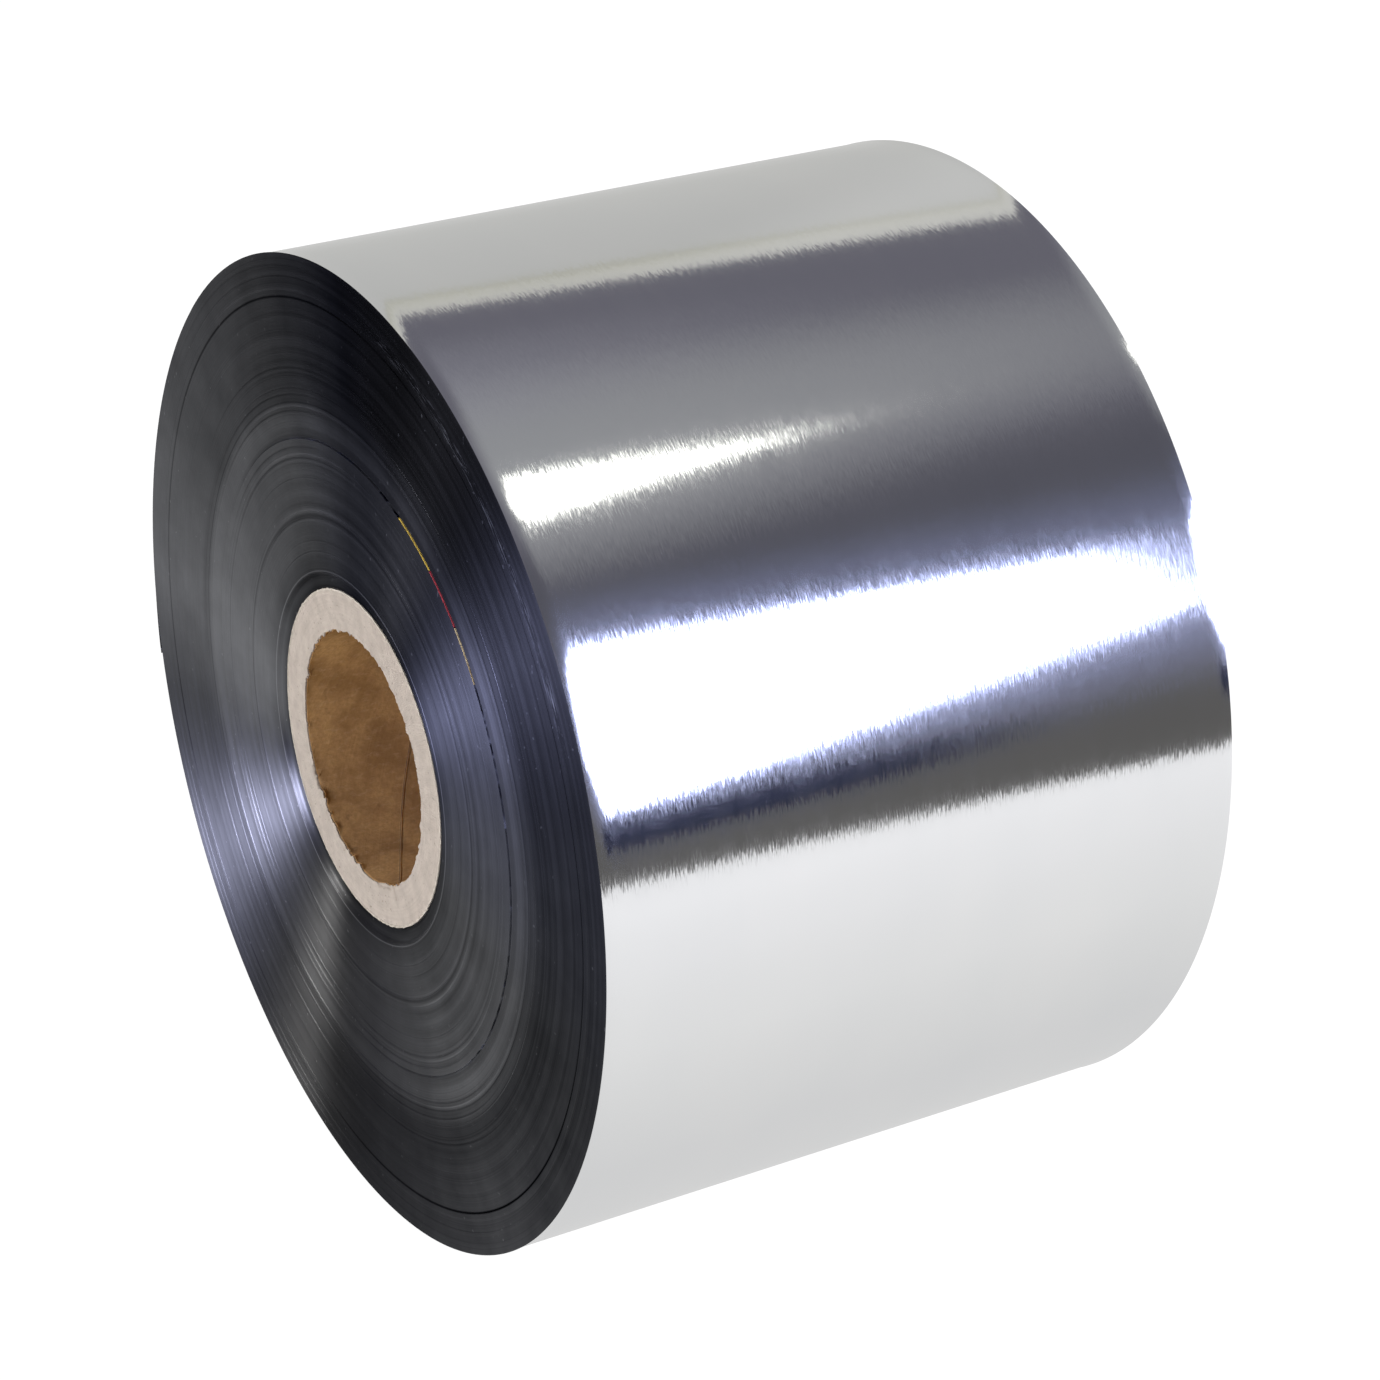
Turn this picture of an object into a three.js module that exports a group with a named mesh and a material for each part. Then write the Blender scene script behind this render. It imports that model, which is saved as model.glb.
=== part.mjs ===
// A slit roll of metallised film wound on a spiral-wound paperboard core, lying on its side.
// Millimetres. X runs along the roll's axis, Z is up, and the origin is under the middle of the roll,
// on the surface that it lies on. Angles are degrees round the axis, from the top towards the front (-Y).
import * as THREE from "three";

// Driving dimensions of the roll.
const ROLL_RADIUS = 147;
const WEB_WIDTH = 201;
const ROLL_SIDES = 96; // flats round the web, one of them underneath

// The core: a kraft bore liner, plies of grey board and a smooth outer liner, bonded into one tube.
const BORE_RADIUS = 38.1;
const CORE_RADIUS = 50;
const CORE_INSET = 1.3; // how far each core end sits inside the web's end
const CORE_SIDES = 48;
const BOARD_PLIES = 10;
const LINER_THICKNESS = 0.5;
const GLUE_GAP = 0.05;

// The strip of tape that fastens the web's start to the core, in a seat in the outer liner.
const START_TAPE = { from: 93.75, to: 123.75, thickness: 0.2 };

// The web's first turns sit a little inside the later ones.
const WEB_CLEARANCE = 0.15;
const START_TURNS_RADIUS = 53.6;
const START_TURNS_INSET = 1.2;
const START_TURNS_SLOPE = 1;

// The splice between the inner and the outer web, and the coloured tapes laid side by side across it.
const SPLICE_RADIUS = 93.7;
const SPLICE_GAP = 0.06;
const SPLICE_THICKNESS = 0.3;
const SPLICE_TAPES = [
  { name: "splice_tape_yellow", from: 20.7, to: 32.6, color: 0xd8b62c },
  { name: "splice_tape_red", from: 32.8, to: 43.6, color: 0xa8232a },
  { name: "splice_tape_cream", from: 43.8, to: 53.7, color: 0xd9cfae },
];
const SPLICE_POCKET = { from: 20.4, to: 54 };

// The web's free end: a flap that lies in a step of the last turn and lifts about its root line.
const TAIL_ROOT = -55;
const TAIL_TIP = -100;
const TAIL_THICKNESS = 0.4;
const TAIL_GAP = 0.2;
const TAIL_ROOT_ROOM = 0.6; // degrees between the flap's root and the end of its step
const STEP_RUN_OUT = 25; // degrees past the tip over which the last turn rises to full size

// Two short tapes that hold the free end down. They stay on the flap when it is lifted.
const CLOSING_TAPE = { from: -90, to: -113, width: 38, thickness: 0.25, gap: 0.06 };
const CLOSING_TAPES = [
  { name: "closing_tape_near", x: -58 },
  { name: "closing_tape_far", x: 58 },
];
const CLOSING_TAPE_FALL = 0.15; // millimetres per degree that a tape drops past the flap's tip

const LOOKS = {
  film: { color: 0x8f9299, roughness: 0.2, metalness: 1 },
  kraft: { color: 0x8a6236, roughness: 0.85, metalness: 0 },
  board: { color: 0xbcb1a3, roughness: 0.9, metalness: 0 },
  paper: { color: 0xd6d0c6, roughness: 0.8, metalness: 0 },
  tape: { color: 0xcdb57e, roughness: 0.6, metalness: 0 },
};

const radians = THREE.MathUtils.degToRad;

// The distance from the axis, at an angle, of a regular outline whose flats lie at flatRadius.
function outlineRadius(flatRadius, angle, sides) {
  const pitch = 360 / sides;
  const offset = angle - pitch * Math.round(angle / pitch);
  return flatRadius / Math.cos(radians(offset));
}

// The angles of the outline's corners that lie between two angles.
function cornersBetween(from, to, sides) {
  const pitch = 360 / sides;
  const corners = [];
  for (let k = Math.ceil(from / pitch - 0.5); (k + 0.5) * pitch < to; k += 1) {
    const angle = (k + 0.5) * pitch;
    if (angle > from) corners.push(angle);
  }
  return corners;
}

// A point of a section that is drawn across the axis, for extrudeAlongAxis.
function sectionPoint(radius, angle) {
  return new THREE.Vector2(-radius * Math.cos(radians(angle)), -radius * Math.sin(radians(angle)));
}

function extrudeAlongAxis(shape, length, middle = 0) {
  const geometry = new THREE.ExtrudeGeometry(shape, { depth: length, bevelEnabled: false, steps: 1 });
  geometry.rotateY(Math.PI / 2);
  geometry.translate(middle - length / 2, 0, 0);
  return geometry;
}

// A whole turn of outline. Steps are angles where the flat radius jumps, so they get a point on each side.
function turnPoints(flatRadiusAt, sides, steps = []) {
  const hair = 1e-6;
  const angles = cornersBetween(-180, 180, sides);
  steps.forEach((angle) => angles.push(angle - hair, angle + hair));
  angles.sort((a, b) => a - b);
  return angles.map((angle) => sectionPoint(outlineRadius(flatRadiusAt(angle), angle, sides), angle));
}

// A tube whose outer and inner outlines may carry steps.
function tube(outer, inner, length) {
  const shape = new THREE.Shape(turnPoints(outer.flatRadiusAt, outer.sides, outer.steps));
  shape.holes.push(new THREE.Path(turnPoints(inner.flatRadiusAt, inner.sides, inner.steps)));
  return extrudeAlongAxis(shape, length);
}

function round(flatRadius, sides) {
  return { flatRadiusAt: () => flatRadius, sides };
}

// A curved strip from one angle to another. Bends are extra angles that its surfaces turn at.
function strip({ from, to, innerAt, outerAt, sides, length, middle = 0, bends = [] }) {
  const angles = [from, to, ...bends, ...cornersBetween(from, to, sides)].sort((a, b) => a - b);
  const side = (flatRadiusAt) =>
    angles.map((angle) => sectionPoint(outlineRadius(flatRadiusAt(angle), angle, sides), angle));
  const shape = new THREE.Shape([...side(outerAt), ...side(innerAt).reverse()]);
  return extrudeAlongAxis(shape, length, middle);
}

function material(look) {
  return new THREE.MeshStandardMaterial(look);
}

function mesh(name, geometry, look) {
  const made = new THREE.Mesh(geometry, material(look));
  made.name = name;
  return made;
}

// The core's layers from the bore outwards. Each is a strip wound in a helix on the real core.
function makeCore() {
  const core = new THREE.Group();
  const length = WEB_WIDTH - 2 * CORE_INSET;
  const layer = (inner, outer) => tube(round(outer, CORE_SIDES), round(inner, CORE_SIDES), length);

  const boardInner = BORE_RADIUS + LINER_THICKNESS + GLUE_GAP;
  const boardOuter = CORE_RADIUS - LINER_THICKNESS - GLUE_GAP;
  core.add(mesh("core_bore_liner", layer(BORE_RADIUS, BORE_RADIUS + LINER_THICKNESS), LOOKS.kraft));

  const plyPitch = (boardOuter - boardInner + GLUE_GAP) / BOARD_PLIES;
  for (let ply = 0; ply < BOARD_PLIES; ply += 1) {
    const inner = boardInner + ply * plyPitch;
    const name = `core_board_ply_${String(ply + 1).padStart(2, "0")}`;
    core.add(mesh(name, layer(inner, inner + plyPitch - GLUE_GAP), LOOKS.board));
  }
  core.add(mesh("core_outer_liner", makeOuterLiner(length), LOOKS.paper));
  core.add(mesh("web_start_tape", makeStartTape(), LOOKS.tape));
  return core;
}

// The outer liner, with the seat that the start tape lies in.
function makeOuterLiner(length) {
  const seatDepth = START_TAPE.thickness + GLUE_GAP;
  const inSeat = (angle) => angle > START_TAPE.from && angle < START_TAPE.to;
  const outer = {
    flatRadiusAt: (angle) => CORE_RADIUS - (inSeat(angle) ? seatDepth : 0),
    sides: CORE_SIDES,
    steps: [START_TAPE.from, START_TAPE.to],
  };
  return tube(outer, round(CORE_RADIUS - LINER_THICKNESS, CORE_SIDES), length);
}

function makeStartTape() {
  const room = 0.2; // degrees between the tape's edges and its seat
  return strip({
    from: START_TAPE.from + room,
    to: START_TAPE.to - room,
    innerAt: () => CORE_RADIUS - START_TAPE.thickness,
    outerAt: () => CORE_RADIUS,
    sides: CORE_SIDES,
    length: WEB_WIDTH - 2 * START_TURNS_INSET - 2 * CORE_INSET,
  });
}

// The inner web: all turns from the core to the splice.
function makeInnerWeb() {
  const corner = 1 / Math.cos(Math.PI / ROLL_SIDES);
  const bore = (CORE_RADIUS / Math.cos(Math.PI / CORE_SIDES) + WEB_CLEARANCE) * corner;
  const dish = START_TURNS_RADIUS * corner;
  const slope = (START_TURNS_RADIUS + START_TURNS_SLOPE) * corner;
  const splice = SPLICE_RADIUS * corner;
  const end = WEB_WIDTH / 2;
  const nearEnd = [
    [bore, START_TURNS_INSET - end],
    [dish, START_TURNS_INSET - end],
    [slope, -end],
    [splice, -end],
  ];
  const farEnd = nearEnd.map(([radius, x]) => [radius, -x]).reverse();
  const profile = [...nearEnd, ...farEnd, nearEnd[0]].map(([radius, x]) => new THREE.Vector2(radius, x));
  const geometry = new THREE.LatheGeometry(profile, ROLL_SIDES, Math.PI / ROLL_SIDES);
  geometry.rotateZ(-Math.PI / 2);
  return geometry;
}

// How far the last turn lies below full size at an angle: the step that the free end lies in.
function stepDepth(angle) {
  const depth = TAIL_THICKNESS + TAIL_GAP;
  if (angle > TAIL_ROOT + TAIL_ROOT_ROOM || angle < TAIL_TIP - STEP_RUN_OUT) return 0;
  if (angle > TAIL_TIP) return depth;
  return (depth * (angle - TAIL_TIP + STEP_RUN_OUT)) / STEP_RUN_OUT;
}

// The outer web: all turns from the splice to the outside, with a pocket over the splice tapes.
function makeOuterWeb() {
  const pocket = SPLICE_THICKNESS + 2 * SPLICE_GAP;
  const overTapes = (angle) => angle > SPLICE_POCKET.from && angle < SPLICE_POCKET.to;
  const outer = {
    flatRadiusAt: (angle) => ROLL_RADIUS - stepDepth(angle),
    sides: ROLL_SIDES,
    steps: [TAIL_ROOT + TAIL_ROOT_ROOM],
  };
  const inner = {
    flatRadiusAt: (angle) => SPLICE_RADIUS + SPLICE_GAP + (overTapes(angle) ? pocket : 0),
    sides: ROLL_SIDES,
    steps: [SPLICE_POCKET.from, SPLICE_POCKET.to],
  };
  return tube(outer, inner, WEB_WIDTH);
}

function makeSpliceTape({ from, to }) {
  const inner = SPLICE_RADIUS + 2 * SPLICE_GAP;
  return strip({
    from,
    to,
    innerAt: () => inner,
    outerAt: () => inner + SPLICE_THICKNESS,
    sides: ROLL_SIDES,
    length: WEB_WIDTH,
  });
}

function makeWeb() {
  const web = new THREE.Group();
  web.add(mesh("web_inner_pack", makeInnerWeb(), LOOKS.film));
  web.add(mesh("web_outer_pack", makeOuterWeb(), LOOKS.film));
  SPLICE_TAPES.forEach((tape) => {
    web.add(mesh(tape.name, makeSpliceTape(tape), { ...LOOKS.tape, color: tape.color }));
  });
  return web;
}

function makeTailFlap() {
  return strip({
    from: TAIL_TIP,
    to: TAIL_ROOT,
    innerAt: () => ROLL_RADIUS - TAIL_THICKNESS,
    outerAt: () => ROLL_RADIUS,
    sides: ROLL_SIDES,
    length: WEB_WIDTH,
  });
}

// A closing tape lies on the flap, drops over its tip and lies on the turn below.
function makeClosingTape({ x }) {
  const under = (angle) => {
    const dropped = ROLL_RADIUS - CLOSING_TAPE_FALL * Math.max(0, TAIL_TIP - angle);
    const surface = ROLL_RADIUS - (angle < TAIL_TIP ? stepDepth(angle) : 0);
    return Math.max(dropped, surface) + CLOSING_TAPE.gap;
  };
  return strip({
    from: CLOSING_TAPE.to,
    to: CLOSING_TAPE.from,
    innerAt: under,
    outerAt: (angle) => under(angle) + CLOSING_TAPE.thickness,
    sides: ROLL_SIDES,
    length: CLOSING_TAPE.width,
    middle: x,
    bends: [TAIL_TIP],
  });
}

// The free end with the tapes on it, which lift together.
function makeTail() {
  const tail = new THREE.Group();
  tail.add(mesh("web_tail_flap", makeTailFlap(), LOOKS.film));
  CLOSING_TAPES.forEach((tape) => tail.add(mesh(tape.name, makeClosingTape(tape), LOOKS.tape)));
  return tail;
}

const roll = new THREE.Group();
roll.add(makeCore(), makeWeb(), makeTail());
roll.position.z = ROLL_RADIUS;

export default roll;
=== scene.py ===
import math

import bpy
import numpy as np
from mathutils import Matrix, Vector


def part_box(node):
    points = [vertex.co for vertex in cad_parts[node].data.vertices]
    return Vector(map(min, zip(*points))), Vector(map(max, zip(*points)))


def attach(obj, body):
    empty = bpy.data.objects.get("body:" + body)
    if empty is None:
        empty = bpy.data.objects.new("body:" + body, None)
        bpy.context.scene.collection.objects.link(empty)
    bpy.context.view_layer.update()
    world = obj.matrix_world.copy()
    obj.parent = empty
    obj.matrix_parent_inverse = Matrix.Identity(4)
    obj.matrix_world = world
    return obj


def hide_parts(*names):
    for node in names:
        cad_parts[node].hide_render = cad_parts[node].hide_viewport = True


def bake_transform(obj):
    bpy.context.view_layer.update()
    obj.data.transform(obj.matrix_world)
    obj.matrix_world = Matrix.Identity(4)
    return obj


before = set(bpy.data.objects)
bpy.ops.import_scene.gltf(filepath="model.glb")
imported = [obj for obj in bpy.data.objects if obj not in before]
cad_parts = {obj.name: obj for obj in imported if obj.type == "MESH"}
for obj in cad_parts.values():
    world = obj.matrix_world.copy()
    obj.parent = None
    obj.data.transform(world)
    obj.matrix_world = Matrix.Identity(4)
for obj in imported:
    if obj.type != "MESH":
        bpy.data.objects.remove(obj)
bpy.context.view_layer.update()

MM = 0.001

# ---------------------------------------------------------------------------------------------
# Sizes and places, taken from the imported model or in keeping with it
# ---------------------------------------------------------------------------------------------


def half_height(node):
    low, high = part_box(node)
    return (high.z - low.z) / 2


def half_length(node):
    low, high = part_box(node)
    return (high.x - low.x) / 2


ROLL_RADIUS = half_height("web_outer_pack")
AXIS_Z = ROLL_RADIUS
WEB_HALF = half_length("web_outer_pack")
CORE_HALF = half_length("core_board_ply_01")
CORE_RADIUS = half_height("core_outer_liner")
LINER_RADIUS = half_height("core_bore_liner")
LINER_THICKNESS = 0.5 * MM
BORE_RADIUS = LINER_RADIUS - LINER_THICKNESS
BOARD_RADIUS = half_height("core_board_ply_10")
SPLICE_RADIUS = half_height("web_inner_pack")

# The free end, in degrees: the seam where its sheet starts, its root line, its tip, and how far past the
# root its rows lie close together.
TAIL_SEAM = -45.0
TAIL_ROOT = -55.0
TAIL_TIP = -100.0
TAIL_BEND = 9.0
TIP_LIFT = 1.0 * MM
TIP_LIFT_SPREAD = 9.0
FILM_THICKNESS = 0.09 * MM
# How far the roll's surface falls over the last turn, down to the step at the seam.
LAST_TURN = 0.15 * MM

# The two closing tapes: both ends in degrees round the roll, and their places along it.
CLOSING_FROM = -90.0
CLOSING_TO = -113.0
CLOSING_THICKNESS = 0.14 * MM
CLOSING_LOW, CLOSING_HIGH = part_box("closing_tape_far")
CLOSING_X = (CLOSING_LOW.x + CLOSING_HIGH.x) / 2
CLOSING_HALF = (CLOSING_HIGH.x - CLOSING_LOW.x) / 2

# The first turns on the core, which sit inside the rest.
START_TURNS_INSET = 1.2 * MM
START_TURNS_RADII = (53.6 * MM, 55.1 * MM)

# The bore liner's helical seam: where it starts at the core's near end, and its slope, in degrees.
SEAM_START = 147.2
SEAM_SLOPE = 2.99 / MM

# The web's built-up edges.
EDGE_WIDTH = 4.5 * MM
NEAR_EDGE_RISE = 0.3 * MM
FAR_EDGE_RISE = 0.18 * MM


def smoothstep(low, high, value):
    t = np.clip((value - low) / (high - low), 0.0, 1.0)
    return t * t * (3 - 2 * t)


def wander(length, knots, size, seed, closed=False):
    """A smooth random line: `length` values through `knots` random heights of standard deviation `size`."""
    heights = np.random.default_rng(seed).normal(0.0, size, knots)
    if closed:
        heights = np.append(heights, heights[0])
    at = np.linspace(0, len(heights) - 1, length, endpoint=not closed)
    low = np.clip(at.astype(int), 0, len(heights) - 2)
    t = at - low
    t = t * t * (3 - 2 * t)
    return heights[low] * (1 - t) + heights[low + 1] * t


# ---------------------------------------------------------------------------------------------
# Mesh making
# ---------------------------------------------------------------------------------------------


def round_axis(radius, angle, x):
    """Points at a radius and an angle (degrees) round the roll's axis, as an array with a last axis of 3."""
    radius, angle, x = np.broadcast_arrays(radius, np.radians(angle), x)
    return np.stack([x, -radius * np.sin(angle), AXIS_Z + radius * np.cos(angle)], axis=-1)


def grid_object(name, points, closed_rows=False, closed_columns=False, caps=False, sharp=35.0):
    """A mesh of quads over a grid of points, joined round where a direction is closed."""
    rows, columns = points.shape[:2]
    index = np.arange(rows * columns).reshape(rows, columns)
    if closed_rows:
        index = np.vstack([index, index[:1]])
    if closed_columns:
        index = np.hstack([index, index[:, :1]])
    quads = np.stack([index[:-1, :-1], index[1:, :-1], index[1:, 1:], index[:-1, 1:]], axis=-1)
    faces = quads.reshape(-1, 4).tolist()
    if caps:
        faces += [index[0, :-1][::-1].tolist(), index[-1, :-1].tolist()]
    mesh = bpy.data.meshes.new(name)
    mesh.from_pydata(points.reshape(-1, 3).tolist(), [], faces)
    mesh.validate()
    turn_out(mesh)
    mesh.shade_smooth()
    mesh.set_sharp_from_angle(angle=math.radians(sharp))
    made = bpy.data.objects.new(name, mesh)
    bpy.context.scene.collection.objects.link(made)
    return made


def turn_out(mesh):
    """Turns a closed mesh's faces outwards."""
    points = np.empty(len(mesh.vertices) * 3)
    mesh.vertices.foreach_get("co", points)
    mesh.calc_loop_triangles()
    corners = np.empty(len(mesh.loop_triangles) * 3, dtype=np.int32)
    mesh.loop_triangles.foreach_get("vertices", corners)
    a, b, c = points.reshape(-1, 3)[corners.reshape(-1, 3)].transpose(1, 0, 2)
    if np.einsum("ij,ij->", a, np.cross(b, c)) < 0:
        mesh.flip_normals()


def give_material(piece, *materials):
    piece.data.materials.clear()
    for material in materials:
        piece.data.materials.append(material)


def paint_faces(piece, slot_of):
    """Gives each face the material slot that slot_of says for its centre."""
    centres = np.zeros(len(piece.data.polygons) * 3)
    piece.data.polygons.foreach_get("center", centres)
    slots = slot_of(centres.reshape(-1, 3)).astype(np.int32)
    piece.data.polygons.foreach_set("material_index", slots)


# ---------------------------------------------------------------------------------------------
# Node trees
# ---------------------------------------------------------------------------------------------


class Nodes:
    """A short way to write a node tree: sockets and numbers go in, sockets come out."""

    def __init__(self, owner):
        owner.use_nodes = True
        self.tree = owner.node_tree
        self.tree.nodes.clear()

    def put(self, socket, value):
        if isinstance(value, bpy.types.NodeSocket):
            self.tree.links.new(value, socket)
        elif value is not None:
            socket.default_value = value

    def node(self, kind, inputs=(), **settings):
        made = self.tree.nodes.new(kind)
        for key, value in settings.items():
            setattr(made, key, value)
        for key, value in dict(inputs).items():
            self.put(made.inputs[key], value)
        return made

    def math(self, operation, a, b=None):
        made = self.node("ShaderNodeMath", operation=operation)
        for socket, value in zip(made.inputs, (a, b)):
            self.put(socket, value)
        return made.outputs[0]

    def add(self, a, b):
        return self.math("ADD", a, b)

    def sub(self, a, b):
        return self.math("SUBTRACT", a, b)

    def mul(self, a, b):
        return self.math("MULTIPLY", a, b)

    def vector(self, operation, a, b=None, scale=None):
        made = self.node("ShaderNodeVectorMath", operation=operation)
        self.put(made.inputs[0], a)
        if b is not None:
            self.put(made.inputs[1], b)
        if scale is not None:
            self.put(made.inputs["Scale"], scale)
        return made.outputs["Value" if operation == "DOT_PRODUCT" else "Vector"]

    def xyz(self, vector):
        return self.node("ShaderNodeSeparateXYZ", {0: vector}).outputs

    def combine(self, x, y, z):
        return self.node("ShaderNodeCombineXYZ", {0: x, 1: y, 2: z}).outputs[0]

    def spread(self, value, low, high, to_low=0.0, to_high=1.0, smooth=True):
        kind = "SMOOTHSTEP" if smooth else "LINEAR"
        made = self.node("ShaderNodeMapRange", interpolation_type=kind)
        for key, number in zip(range(5), (value, low, high, to_low, to_high)):
            self.put(made.inputs[key], number)
        return made.outputs[0]

    def mix(self, share, a, b):
        made = self.node("ShaderNodeMix", data_type="RGBA")
        self.put(made.inputs["Factor"], share)
        self.put(made.inputs["A"], a)
        self.put(made.inputs["B"], b)
        return made.outputs["Result"]

    def noise(self, vector, scale=1.0, detail=2.0, roughness=0.5):
        inputs = {"Vector": vector, "Scale": scale, "Detail": detail, "Roughness": roughness}
        return self.node("ShaderNodeTexNoise", inputs).outputs[0]

    def lines(self, along, scale=1.0, detail=2.0, roughness=0.5):
        """One-dimensional noise."""
        inputs = {"W": along, "Scale": scale, "Detail": detail, "Roughness": roughness}
        return self.node("ShaderNodeTexNoise", inputs, noise_dimensions="1D").outputs[0]

    def ramp(self, value, *stops):
        made = self.node("ShaderNodeValToRGB", {0: value})
        elements = made.color_ramp.elements
        while len(elements) < len(stops):
            elements.new(0.5)
        for element, (place, colour) in zip(elements, stops):
            element.position = place
            element.color = colour
        return made.outputs[0]

    def bump(self, height, distance, strength=1.0):
        inputs = {"Height": height, "Distance": distance, "Strength": strength}
        return self.node("ShaderNodeBump", inputs).outputs[0]

    def object_place(self):
        return self.node("ShaderNodeTexCoord").outputs["Object"]

    def principled(self, **inputs):
        """The surface shader, with input names written with _ for spaces, wired to the output."""
        named = {key.replace("_", " "): value for key, value in inputs.items()}
        shader = self.node("ShaderNodeBsdfPrincipled", named)
        self.node("ShaderNodeOutputMaterial", {"Surface": shader.outputs[0]})
        return shader


def grey(value):
    return (value, value, value, 1.0)


def new_material(name):
    made = bpy.data.materials.new(name)
    return made, Nodes(made)


def roll_coordinates(n):
    """x, radius, the angle round the axis in radians, and the outward direction, at a shading point."""
    x, y, z = n.xyz(n.object_place())
    height = n.sub(z, AXIS_Z)
    radius = n.math("SQRT", n.add(n.mul(y, y), n.mul(height, height)))
    angle = n.math("ARCTAN2", n.mul(y, -1.0), height)
    outward = n.vector("NORMALIZE", n.combine(0.0, y, height))
    return x, radius, angle, outward


# ---------------------------------------------------------------------------------------------
# Materials
# ---------------------------------------------------------------------------------------------


def film_face_material():
    """The film's metallised face: a near mirror with fine hair-like lines in the winding direction."""
    material, n = new_material("film_face")
    x, _, angle, _ = roll_coordinates(n)
    arc = n.mul(angle, ROLL_RADIUS)
    round_it = n.node("ShaderNodeTangent", direction_type="RADIAL", axis="X").outputs[0]

    def grain(across, along, seed):
        """Noise cells of a size across the web and along the winding, in metres, centred on zero."""
        place = n.combine(n.mul(x, 1 / across), n.mul(arc, 1 / along), seed)
        return n.sub(n.noise(place, 1.0, 2.0, 0.6), 0.5)

    hair_round, swell_round = grain(0.42 * MM, 3.4 * MM, 1.0), grain(12 * MM, 60 * MM, 4.0)
    tilt_round = n.add(n.mul(hair_round, 0.07), n.mul(swell_round, 0.004))
    hair_across, swell_across = grain(0.4 * MM, 4 * MM, 9.0), grain(12 * MM, 300 * MM, 6.0)
    tilt_across = n.add(n.mul(hair_across, 0.03), n.mul(swell_across, 0.003))
    leaning = n.vector("ADD", n.node("ShaderNodeNewGeometry").outputs["Normal"],
                       n.vector("SCALE", round_it, scale=tilt_round))
    leaning = n.vector("ADD", leaning, n.combine(tilt_across, 0.0, 0.0))
    roughness = n.add(0.105, n.mul(grain(4 * MM, 30 * MM, 3.0), 0.05))
    tint = n.mix(n.noise(n.combine(n.mul(x, 30.0), n.mul(arc, 12.0), 0.0)),
                 (0.86, 0.87, 0.89, 1), (0.92, 0.92, 0.93, 1))
    n.principled(Base_Color=tint, Metallic=1.0, Roughness=roughness,
                 Normal=n.vector("NORMALIZE", leaning))
    return material


def round_stops(*stops):
    """Grey stops of a colour ramp over a whole turn, from degrees and values."""
    return [(degrees / 360.0, grey(value)) for degrees, value in stops]


# Painted sheen: how brightly the wound end's colour shows painted reflections, by degrees from the top.
PAINTED_END_SHEEN = round_stops((0, 0.33), (16, 0.17), (36, 0.15), (112, 0.55), (144, 0.85), (160, 0.55), (176, 0.4),
                        (192, 0.22), (224, 0.33), (240, 0.32), (272, 0.7), (304, 0.46), (336, 0.75),
                        (350, 0.6), (360, 0.33))
# Painted shade: how much duller the outer turns are painted than the rest, by degrees from the top.
PAINTED_OUTER_SHADE = round_stops((0, 0.27), (16, 0.46), (32, 0.4), (47, 0.2), (64, 0.42), (80, 0.34),
                             (144, 0.36), (160, 0.25), (192, 0.2), (208, 0.0), (240, 0.08),
                             (256, 0.24), (272, 0.0), (360, 0.27))
# Rings of the wound end painted duller, as painted shade: radius and half width in mm, and how much duller
# they are.
PAINTED_DULL_RINGS = ((106.5, 3.0, 0.15), (71.6, 0.7, 0.3), (104.2, 0.5, 0.3), (134.4, 0.6, 0.3), (88.0, 0.4, 0.2),
              (51.0, 3.0, 0.22))


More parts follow.
